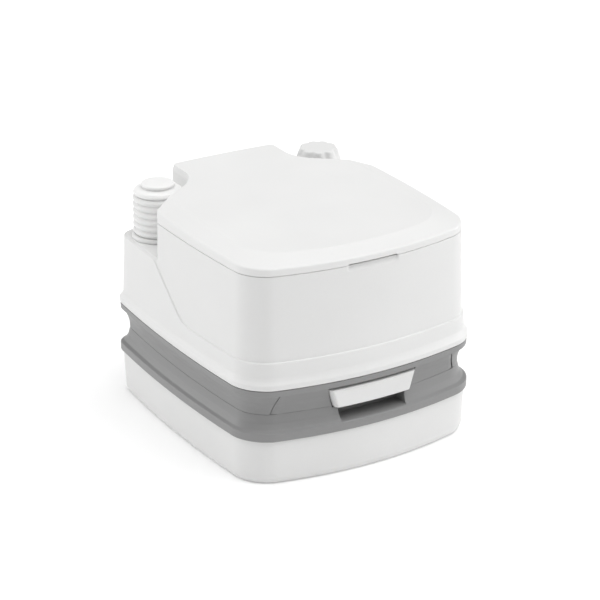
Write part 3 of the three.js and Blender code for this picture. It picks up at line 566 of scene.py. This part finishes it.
def front_panel():
    """The front panel of the waste tank as a bowed slab with slanted ends."""
    face = rounded([
        (14.0, 95.0, 0), (NECK_INSET, NECK_Z, 12), *WAIST, (5.4, 130.2, 0.6), (20, 130.2, 0), (20, 95.0, 0),
    ], 6)
    half = np.interp(face[:, 1], [PANEL_LOW_Z, PANEL_HIGH_Z], [PANEL_LOW_X, PANEL_HIGH_X])
    rows = []
    for part in np.linspace(-1, 1, 150):
        x = part * half
        y = [facet_y(inset, value) for (inset, _), value in zip(face, x)]
        rows.append(np.column_stack([x, y, face[:, 1]]))
    return skin(rows)


def make_tank_top():
    """The grey upper half of the waste tank with its front panel, recesses and deck."""
    profile = rounded([
        (16, TANK_TOP_START, 0), (0.1, TANK_TOP_START, 2.2), (0.1, 77.2, 2.0), (4.8, 80, 5), (9.4, 88, 14),
        (NECK_INSET, NECK_Z, 0), (18, NECK_Z + 0.2, 0), (18, DECK_OF_TANK, 2.5), (40, DECK_OF_TANK, 0),
    ], 5)
    rings = [lift(full_ring(inset), z) for inset, z in profile]
    outlet = oval(full_ring(40), OUTLET_Y, OUTLET_R, OUTLET_R)
    rings += [lift(outlet, DECK_OF_TANK), lift(outlet, TANK_TOP_START)]

    gap = 1.2
    handle_face = slanted(
        (HANDLE_LOW_X + gap, HANDLE_LOW_Z - gap), (HANDLE_HIGH_X + gap, HANDLE_HIGH_Z + gap),
    )
    finger_recess = front_prism(slanted((52, 79), (55.5, 108)), -FAR, -181)
    valve_channel = block(-53, 53, -FAR, 38, 114, 119)
    handle_recess = front_prism(handle_face, -FAR, -194)
    spout_bay = block(14, 154, 151, FAR, 78, FAR)
    vent_bay = block(-150, -84, 160, FAR, 96, FAR)
    latch_bay = block(-48.3, -11.7, 199, FAR, 79.5, FAR)
    spout_hole = cylinder(19.5, 60, 90, SPOUT_X, SPOUT_Y)
    vent_hole = cylinder(5, 60, 100, -117, 181, 32)
    cuts = [
        finger_recess, valve_channel, handle_recess, spout_bay, vent_bay, latch_bay, spout_hole, vent_hole,
    ]
    body = carved(skin(rings, closed=True), ("UNION", front_panel()), *(("DIFFERENCE", cut) for cut in cuts))
    place("tank_top", body, "waste_tank", "grey_shell", ["waste_tank_top"], bevel=0.7)

    latch_x, apart, thick, eye_y = -30, 18.5, 4, 204.5
    for name, side in SIDES:
        near = latch_x + side * apart
        latch_lug = lug((near, near + side * thick), (198, eye_y), (80, 92), 6, eye_y, 86, sides=40)
        place(f"latch_lug_{name}", latch_lug, "waste_tank", "grey_shell")


def make_handle():
    """The white handle of the slide valve, bowed like the front and narrower at its face."""
    def edge(half, depth, z):
        x = np.linspace(-1, 1, 41) * half
        y = HANDLE_BACK - depth + FRONT_BOW * (x / HALF_WIDTH) ** 2
        return np.column_stack([x, y, np.full(len(x), z)])

    rings = []
    for depth, shrink in ((0, 0.0), (7.0, 0.0), (12.0, 3.4)):
        low = edge(HANDLE_LOW_X - shrink, depth, HANDLE_LOW_Z + 0.3 * shrink)
        high = edge(HANDLE_HIGH_X - shrink, depth, HANDLE_HIGH_Z - 0.3 * shrink)
        rings.append(np.concatenate([low, high[::-1]]))
    place("valve_grip", skin(rings), "slide_valve", "white_shell", ["valve_handle"], sharp=25.0, bevel=1.6)


# ---------------------------------------------------------------- flush tank


def make_tank_floor():
    """The grey floor of the flush tank with its skirt and lip."""
    skirt_foot = NECK_Z + 0.5
    profile = rounded([
        (NECK_INSET, skirt_foot, 0.4), *WAIST, (5.0, LIP_BOTTOM - 0.4, 0.8),
        (1.4, LIP_BOTTOM, 0.8), (1.0, LIP_TOP, 0.8), (40, LIP_TOP, 0),
    ], 5)
    rings = [lift(full_ring(inset), z) for inset, z in profile]
    outlet = oval(full_ring(40), OUTLET_Y, 51, 51)
    rings += [lift(outlet, LIP_TOP), lift(outlet, FLOOR_UNDER)]
    rings += [lift(full_ring(6), FLOOR_UNDER), lift(full_ring(15.5), skirt_foot)]

    gap, bay_top = 1.4, 130.8
    panel_face = slanted((PANEL_LOW_X + gap, PANEL_LOW_Z), (PANEL_HIGH_X + gap, PANEL_HIGH_Z))
    panel_space = front_prism(panel_face, -FAR, -100)
    spout_space = block(8, 156, 140, FAR, 0, bay_top)
    vent_space = block(-150, -84, 140, FAR, 0, bay_top)
    latch_space = block(-56, -4, 199, FAR, 0, FAR)
    body = without(skin(rings, closed=True), panel_space, spout_space, vent_space, latch_space)
    place("flush_floor", body, "flush_tank", "grey_shell", ["flush_tank_floor"], bevel=0.5)


def wall_inset(z):
    """The inset of the wall above the crease, which leans in evenly up to the deck."""
    return CREASE_INSET + (z - CREASE) * WALL_SLOPE


def crease_height(ring):
    """The crease runs level round the front and climbs along each side to the corner units."""
    start, end, ease = -24.0, 80.0, 16.0
    past = ring[:, 1] - start
    eased_in = np.clip(past, 0, None) ** 2 / (4 * ease)
    climb = np.where(past < 2 * ease, eased_in, past - ease) / (end - start - ease)
    return CREASE + (SHELF - 2 - CREASE) * np.clip(climb, 0, 1)


def in_notch(ring):
    """How far into the pump's corner each point is, from 0 outside to 1 well inside."""
    x, y = -ring[:, 0] - NOTCH_X, ring[:, 1] - NOTCH_Y
    beyond_edge = NOTCH_R + x * math.cos(NOTCH_TURN) + y * math.sin(NOTCH_TURN)
    from_middle = x + NOTCH_R
    in_arc = (y < 0) & (x * math.sin(NOTCH_TURN) < y * math.cos(NOTCH_TURN))
    depth = np.where(in_arc, NOTCH_R - np.hypot(x, y), np.minimum(beyond_edge, from_middle))
    return smooth_step(0.5, 9, depth)


def wall_ring(z, edge, more=0.0):
    """A full ring on the wall at heights z, where edge is the height of the crease at each point."""
    z = np.broadcast_to(z, edge.shape)
    below = FOOT_INSET + (wall_inset(edge) - FOOT_INSET) * (z - WALL_FOOT) / (edge - WALL_FOOT)
    inset = np.where(z < edge, below, wall_inset(z)) + more
    least, most = 5, 16
    outer, inner = full_ring(least), full_ring(most)
    ring = outer + (inner - outer) * ((inset - least) / (most - least))[:, None]
    return lift(ring, z)


def make_lower_housing():
    """The white wall of the flush tank up to the level of the pump's shelf.

    The wall below the crease stands proud of the wall above it by a narrow ledge.
    """
    foot = rounded([
        (20, RIM_BOTTOM, 0), (0.3, RIM_BOTTOM, 2.5), (0.0, 147.5, 4), (2.8, 151.5, 12),
        (FOOT_INSET, WALL_FOOT, 0),
    ], 6)
    rings = [lift(full_ring(inset), z) for inset, z in foot]
    flat = full_ring(7)
    edge = crease_height(flat)
    away = in_notch(flat)

    ledge_start = 6.0
    for part in np.linspace(0.1, 0.8, 5):
        z = WALL_FOOT + (edge - ledge_start - WALL_FOOT) * part
        rings.append(wall_ring(z, edge, -LEDGE * 0.9 * part))
    ledge = [(-ledge_start, 0.95), (-3.0, 1.0), (-1.7, 1.0), (-1.6, 0.98), (-0.1, 0.02), (0.0, 0.0)]
    for up, share in ledge:
        rings.append(wall_ring(edge + up, edge, -LEDGE * share))

    # Outside the notch the last rings hide behind the upper housing. Inside they round over onto the shelf.
    radius, hidden, hidden_from = 4.0, 0.8, SHELF - 1.4
    for part in np.linspace(0, 1, 9):
        z = edge + (SHELF - radius - edge) * part
        rings.append(wall_ring(np.maximum(z, edge + 0.02), edge))
    for turn in np.linspace(0.15, 1, 7) * math.pi / 2:
        z = SHELF - radius + radius * math.sin(turn)
        behind = hidden * (1 - away) * (z > hidden_from)
        rings.append(wall_ring(z, edge, away * radius * (1 - math.cos(turn)) + behind))

    bowl_hole = oval(rings[-1][:, :2], BOWL_Y, *BOWL_HOLE)
    rings += [lift(bowl_hole, SHELF), lift(bowl_hole, RIM_BOTTOM)]
    latch_recess = block(-52, -8, 193, FAR, 0, 150)
    body = without(skin(rings, closed=True), latch_recess)
    place("housing_lower", body, "flush_tank", "white_shell", ["flush_tank_housing"])


def scoop(ring):
    """How far the finger scoop under the lid's front edge presses the wall in at each point."""
    across = smooth_step(41, 37, np.abs(ring[:, 0])) * (ring[:, 1] < 0)
    return across * 3.4 * smooth_step(289.5, 295.5, ring[:, 2])


def make_upper_housing():
    """The white wall of the flush tank above the shelf, with the pump's corner cut out, and its deck."""
    def ring_at(inset, grow=0.0):
        return both(spread(half_line(inset), HALF_RING_POINTS), notched_line(inset, grow, (3.0, 4.0)))

    bottom, foot_radius, deck_radius = SHELF - 1.5, 2, 1.4
    rings = [lift(ring_at(wall_inset(bottom)), bottom)]
    for turn in np.linspace(0, 1, 5) * math.pi / 2:
        z = SHELF + foot_radius - foot_radius * math.cos(turn)
        rings.append(lift(ring_at(wall_inset(z), -foot_radius * (1 - math.sin(turn))), z))
    # The rings are closer together where the finger scoop deepens.
    for z in (250, 258, 267, 276, 284, 287, 288, 289, 290.5, 292.5, 294.5, 296):
        rings.append(lift(ring_at(wall_inset(z)), z))
    for turn in np.linspace(0.2, 1, 5) * math.pi / 2:
        more = deck_radius * (1 - math.cos(turn))
        z = DECK - deck_radius + deck_radius * math.sin(turn)
        rings.append(lift(ring_at(WALL_INSET + more, more), z))
    for ring in rings:
        ring[:, 1] += scoop(ring)

    bowl_hole = oval(ring_at(WALL_INSET), BOWL_Y, *BOWL_HOLE)
    deck_edge = rings[-1][:, :2]
    for part in (0.03, 0.1, 0.5):
        rings.append(lift(deck_edge + (bowl_hole - deck_edge) * part, DECK))
    rings += [lift(bowl_hole, DECK), lift(bowl_hole, bottom)]
    hinge_trough = block(-88, 88, 172, FAR, 291, FAR)
    fill_hole = cylinder(22, 284, 310, UNIT_X, UNIT_Y, 64)
    body = without(skin(rings, closed=True), hinge_trough, fill_hole)
    place("housing_upper", body, "flush_tank", "white_shell", sharp=30.0)

    neck = rounded([
        (22, 290, 0), (22, 314, 0.8), (26, 314, 0.8), (26, 299, 1.5), (28.5, 297.5, 0), (28.5, 290, 0),
    ])
    place("fill_neck", turned(neck, UNIT_X, UNIT_Y), "flush_tank", "white_shell")
    for name, side in SIDES:
        ear = lug((side * 36, side * 42), (183.5, 196.5), (290.5, HINGE_Z), HINGE_R, HINGE_Y, HINGE_Z)
        place(f"hinge_ear_{name}", ear, "flush_tank", "white_shell")


def make_bowl():
    """The bowl, from its rim down its inside to the outlet and back up its outside.

    Each level is an ellipse, given as (half width, half depth, middle, height).
    """
    levels = [
        (110.6, 130.6, -38, 298.3), (119.2, 139.2, -38, 298.3), (120, 140, -38, 299.1),
        (119.4, 139.4, -38, 300.1), (118, 138, -38, 300.3), (110.5, 130.5, -38, 300.3),
        (108.6, 128.6, -38, 299.6), (107.7, 127.7, -38, 298), (106, 126, -37.6, 290), (101.5, 120, -36, 277),
        (95, 112, -34, 265), (86, 99.5, -31.3, 250), (74, 84, -28, 235), (63, 69, -24.6, 223),
        (53, 56.5, -22, 213), (48, 49.5, -20.6, 207), (46, 46, -20, 200), (46, 46, -20, 129.8),
        (48.6, 48.6, -20, 129.8), (48.6, 48.6, -20, 199), (55, 58, -22, 212), (76, 86, -28, 234),
        (97, 114, -34, 264), (108.6, 128.6, -37, 289),
    ]
    count = 160
    angles = np.arange(count) * 2 * math.pi / count
    rings = [
        np.column_stack([rx * np.cos(angles), y + ry * np.sin(angles), np.full(count, z)])
        for rx, ry, y, z in levels
    ]
    place("bowl_liner", skin(rings, closed=True), "flush_tank", "white_bowl", ["bowl"], sharp=50.0)


# ---------------------------------------------------------------- seat and lid


def make_seat():
    """The seat: a hollow frame round an oval opening, between the corner units."""
    def ring_at(inset):
        return both(notched_line(16.5 + inset, 5 + inset, (6.0, 6.0), rear_y=178 - inset))

    hole_x, hole_y = 98, 118
    low, shoulder, high, slope, thick = 301.5, 305.3, 310.5, 13.5, 3.0
    flat_inset = slope + 6
    outer = rounded([
        (1.5, low, 0), (0, low, 0.8), (0, shoulder, 3.0), (slope, high, 20), (flat_inset, high, 0),
    ], 6)
    middle = ring_at(flat_inset)
    hole = rounded([(10, high, 0), (0, high, 5.0), (0, low, 0.8), (3, low, 0)], 6)
    rings = [lift(ring_at(inset), z) for inset, z in outer]
    rings += [lift(oval(middle, BOWL_Y, hole_x + out, hole_y + out), z) for out, z in hole]
    rings += [
        lift(oval(middle, BOWL_Y, hole_x + thick, hole_y + thick), high - thick),
        lift(ring_at(slope + thick), high - thick),
        lift(ring_at(thick), shoulder - thick + 1),
        lift(ring_at(thick), low),
    ]
    place("seat_ring", skin(rings, closed=True), "seat", "white_bowl", ["seat"])
    for name, side in SIDES:
        arm = lug((side * 43, side * 51), (175, 190), (303.5, 310.2), HINGE_R, HINGE_Y, HINGE_Z)
        place(f"seat_arm_{name}", arm, "seat", "white_bowl")


def lid_rise(ring):
    """The lid climbs evenly towards the rear."""
    return LID_RISE * (ring[:, 1] - LID_FROM)


def lid_crown(ring):
    """The lid's top swells slightly towards its middle line."""
    x, y = ring[:, 0], ring[:, 1]
    return LID_CROWN * np.clip(1 - (x / 150) ** 2, 0, 1) * smooth_step(-178, 20, y)


def lid_ring(inset, height, grow=0.0, drop=0.0):
    """A ring of the lid at a height above the seam at the front, from 0 to LID_TOP."""
    rounder = 26 * smooth_step(12, 38, inset)
    ring = both(notched_line(inset, grow, (3.0, 7.0), rounder, rear_inset=WALL_INSET + grow))
    share = min(height / LID_LIP, 1)
    above = max(0.0, (height - LID_LIP) / (LID_TOP - LID_LIP))
    return lift(ring, SEAM + height - drop + share * lid_rise(ring) + above * lid_crown(ring))


def raise_scoop(ring):
    """The lid's lower edge is a little higher over the finger scoop."""
    over = smooth_step(40, 37, np.abs(ring[:, 0])) * (ring[:, 1] < 0)
    ring[:, 2] += 1.8 * over * np.clip(1 - (ring[:, 2] - SEAM) / 7, 0, 1)


def lid_outside():
    """The rings of the lid from its lower edge, up its lip and chamfer, to the middle of its top."""
    top_inset = WALL_INSET + LID_CHAMFER
    side = rounded([
        (14, 0, 0), (WALL_INSET, 0, 1.3), (WALL_INSET, LID_LIP, 3), (top_inset, LID_TOP, 5),
        (top_inset + 30, LID_TOP + 0.1, 0),
    ], 7)
    edge = 3.0
    rings = []
    for inset, height in side[:-1]:
        near = np.clip((height - (LID_TOP - edge)) / edge, 0, 1)
        grow = edge * (1 - math.sqrt(max(0.0, 1 - near**2)))
        rings.append(lid_ring(inset, height, grow))
    for ring in rings:
        raise_scoop(ring)
    top = rings[-1]
    for part in (0.04, 0.1, 0.2, 0.32, 0.45, 0.58, 0.7, 0.82, 0.92, 0.985):
        flat = top[:, :2] * (1 - part)
        z = SEAM + LID_TOP + lid_rise(flat) + lid_crown(flat)
        blend = smooth_step(0, 0.1, part)
        rings.append(lift(flat, top[:, 2] * (1 - blend) + z * blend))
    return rings


def lid_inside():
    """The rings of the lid's hollow from its lower edge to the middle of its underside."""
    rings = [
        lid_ring(WALL_INSET + LID_WALL, 0.0, LID_WALL),
        lid_ring(WALL_INSET + LID_WALL, LID_LIP - 1, LID_WALL),
        lid_ring(WALL_INSET + LID_CHAMFER, LID_TOP, LID_WALL, LID_WALL + 1),
    ]
    raise_scoop(rings[0])
    last = rings[-1]
    for part in (0.3, 0.6, 0.985):
        flat = last[:, :2] * (1 - part)
        rings.append(lift(flat, SEAM + LID_TOP - LID_WALL + lid_rise(flat) + lid_crown(flat)))
    return rings


def make_lid():
    """The lid: a shallow shell with slots for the hinge's ears and an arm beside each."""
    slots = [block(*sorted((side * 34, side * 44)), 193, 220, 290, 318) for _, side in SIDES]
    body = without(skin(lid_inside()[::-1] + lid_outside()), *slots)
    place("lid_shell", body, "lid", "white_lid", ["lid"], sharp=48.0)
    for name, side in SIDES:
        arm = lug((side * 52, side * 60), (186, 194), (HINGE_Z, 325), HINGE_R, HINGE_Y, HINGE_Z)
        place(f"lid_arm_{name}", arm, "lid", "white_lid")


# ---------------------------------------------------------------- pump, caps and spout


def make_pump():
    """The bellows pump: a collar on the shelf, ribbed bellows with a mesh of their own, and a button on top.
    """
    x, y = -UNIT_X, UNIT_Y
    collar = rounded([
        (31.5, SHELF + 0.3, 0), (38, SHELF + 0.3, 0.6), (38, SHELF + 2.6, 1.4), (36.4, SHELF + 5.2, 2),
        (34.6, SHELF + 6.2, 0.6), (31.5, SHELF + 6.2, 0),
    ])
    place("pump_base_ring", turned(collar, x, y), "flush_tank", "white_shell", ["pump_collar"])

    low, high, ribs, points_per_rib, travel = SHELF + 6.4, 309.0, 6, 14, 35
    valley, depth, wall, rim = 33.0, 3.1, 31, 27
    t = np.linspace(0, 1, ribs * points_per_rib + 1)
    bulge = (0.5 - 0.5 * np.cos(2 * math.pi * ribs * t)) ** 0.62
    outer = [(valley + depth * float(b), low + (high - low) * float(s)) for b, s in zip(bulge, t)]
    section = [*outer, (rim, high), (rim, high - 2), (wall, high - 2), (wall, low)]
    bellows = place("pump_bellows_skin", turned(section, x, y, 128), "flush_tank", "white_bellows",
                    ["pump_bellows"], sharp=60.0)
    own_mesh(bellows)

    button = rounded([
        (0, 309.3, 0), (33, 309.3, 1.5), (35.7, 312.2, 2.2), (33, 316.5, 3), (22.5, 319.0, 2),
        (21.6, 320.4, 1), (24.0, 322.0, 1.6), (23.4, 325.0, 2.2), (13, 326.8, 20), (0, 327, 0),
    ], 6)
    place("pump_button", turned(button, x, y, 128), "pump", "white_bellows", ["pump_top"])


def lobed(radius, depth, lobes):
    """A circle about the origin with grooves of a depth between its lobes."""
    count = 216
    angles = np.arange(count) * 2 * math.pi / count
    r = radius - depth * (0.5 - 0.5 * np.cos(lobes * angles)) ** 1.6
    return np.stack([r * np.cos(angles), r * np.sin(angles)], 1)


def lobed_cap(lobes, inside, outside):
    """An upright cap about the origin, from (radius, z) and (radius, groove depth, z) levels."""
    rings = [lift(lobed(r, 0, lobes), z) for r, z in inside]
    rings += [lift(lobed(r, depth, lobes), z) for r, depth, z in outside]
    return skin(rings)


def make_fill_cap():
    """The cap of the fill neck: nine lobes that fade into its round skirt."""
    outside = [
        (30, 0, 302), (31.8, 0, 302), (32.4, 0, 303), (32.4, 0.2, 312), (32.3, 0.5, 315), (31.8, 1.2, 317),
        (30.8, 2.0, 320), (29.2, 2.9, 325), (28.0, 3.2, 328), (27.2, 3.2, 329.2), (26.0, 3.1, 329.8),
        (24.6, 2.9, 330), (12, 1.2, 330), (0.5, 0, 330),
    ]
    points, faces = lobed_cap(9, [(0.5, 317.8), (26.6, 317.8), (26.6, 302)], outside)
    cap = points + [UNIT_X, UNIT_Y, 0], faces
    place("filler_cap", cap, "fill_cap", "white_shell", ["fill_cap"], sharp=50.0)


def make_spout_cap():
    """The cap on the end of the spout, lobed all the way down."""
    outside = [
        (23.4, 2.4, 24), (23.5, 2.4, 2), (23.0, 2.4, 0.8), (21.8, 2.3, 0.1), (20, 1.6, 0), (0.5, 0, 0),
    ]
    cap = lobed_cap(12, [(0.5, 4), (19.6, 4), (19.6, 24)], outside)
    cap = along_x(cap, 41, SPOUT_Y, SPOUT_Z)
    place("pour_cap", cap, "spout_cap", "white_shell", ["spout_cap"], sharp=50.0)


def make_spout():
    """The pour-out spout: an upright pipe, a ball elbow and a level pipe."""
    foot, middle, crown_wall = 66, 0.01, 3
    ball = arc((0, SPOUT_Z), PIPE_R, 0, math.pi / 2, 20)
    crown = SPOUT_Z + PIPE_R
    section = [
        (PIPE_BORE, foot), (PIPE_R, foot), *ball, (middle, crown), (middle, crown - crown_wall),
        (PIPE_BORE, SPOUT_Z),
    ]
    upright = turned(section, SPOUT_X, SPOUT_Y)
    length = 78
    pipe = rounded([(PIPE_BORE, 0, 0), (PIPE_R, 0, 0.6), (PIPE_R, length, 0), (PIPE_BORE, length, 0)])
    level = along_x(turned(pipe), SPOUT_X - length, SPOUT_Y, SPOUT_Z)
    place("spout_pipe", joined(upright, level), "spout", "grey_shell", ["pour_out_spout"])


make_base()
make_tank_top()
make_handle()
make_tank_floor()
make_lower_housing()
make_upper_housing()
make_bowl()
make_seat()
make_lid()
make_pump()
make_fill_cap()
make_spout_cap()
make_spout()


# ---------------------------------------------------------------- studio


def far_light(name, towards, strength, spread_angle):
    """A very large soft light far away, in the given direction from the object."""
    light = bpy.data.lights.new(name, "SUN")
    light.energy = strength
    light.angle = math.radians(spread_angle)
    lamp = bpy.data.objects.new(name, light)
    bpy.context.scene.collection.objects.link(lamp)
    lamp.rotation_euler = Vector(towards).to_track_quat("Z", "Y").to_euler()


def pale_floor():
    """A wide matt floor just under the object, lifted slightly by a glow of its own."""
    reach, gap = 30.0, 0.0004
    plane = bpy.data.meshes.new("floor")
    corners = [(-reach, -reach, 0), (reach, -reach, 0), (reach, reach, 0), (-reach, reach, 0)]
    plane.from_pydata(corners, [], [(0, 1, 2, 3)])
    floor = bpy.data.objects.new("floor", plane)
    bpy.context.scene.collection.objects.link(floor)
    floor.location.z = -gap
    paint = bpy.data.materials.new("pale floor")
    paint.use_nodes = True
    shader = paint.node_tree.nodes["Principled BSDF"]
    shader.inputs["Base Color"].default_value = (0.9, 0.9, 0.9, 1)
    shader.inputs["Roughness"].default_value = 0.9
    shader.inputs["Emission Color"].default_value = (1, 1, 1, 1)
    shader.inputs["Emission Strength"].default_value = 0.12
    plane.materials.append(paint)


def lights():
    """A dim white sky and three far lights."""
    world = bpy.data.worlds.new("studio")
    bpy.context.scene.world = world
    world.use_nodes = True
    sky = world.node_tree.nodes["Background"]
    sky.inputs["Color"].default_value = (1, 1, 1, 1)
    sky.inputs["Strength"].default_value = 0.25
    far_light("overhead", (0.1, -0.2, 1.0), 2.5, 70)
    far_light("left", (-0.75, 0.75, 0.3), 1.35, 50)
    far_light("right", (0.9, -0.35, 0.2), 1.15, 45)


def camera():
    """The camera, which looks from the front left and from above at a point near the object's middle."""
    azimuth, elevation, distance = math.radians(-31.5), math.radians(22.55), 3.498
    aim_right, aim_up = 0.0079, 0.1703
    back = Vector((
        math.sin(azimuth) * math.cos(elevation),
        -math.cos(azimuth) * math.cos(elevation),
        math.sin(elevation),
    ))
    right = Vector((math.cos(azimuth), math.sin(azimuth), 0))
    aim = right * aim_right + Vector((0, 0, aim_up))
    lens = bpy.data.cameras.new("camera")
    lens.sensor_width = 36
    lens.lens = 149.0
    eye = bpy.data.objects.new("camera", lens)
    bpy.context.scene.collection.objects.link(eye)
    eye.location = aim + back * distance
    eye.rotation_euler = back.to_track_quat("Z", "Y").to_euler()
    bpy.context.scene.camera = eye


pale_floor()
lights()
camera()
bpy.context.scene.view_settings.view_transform = "Standard"
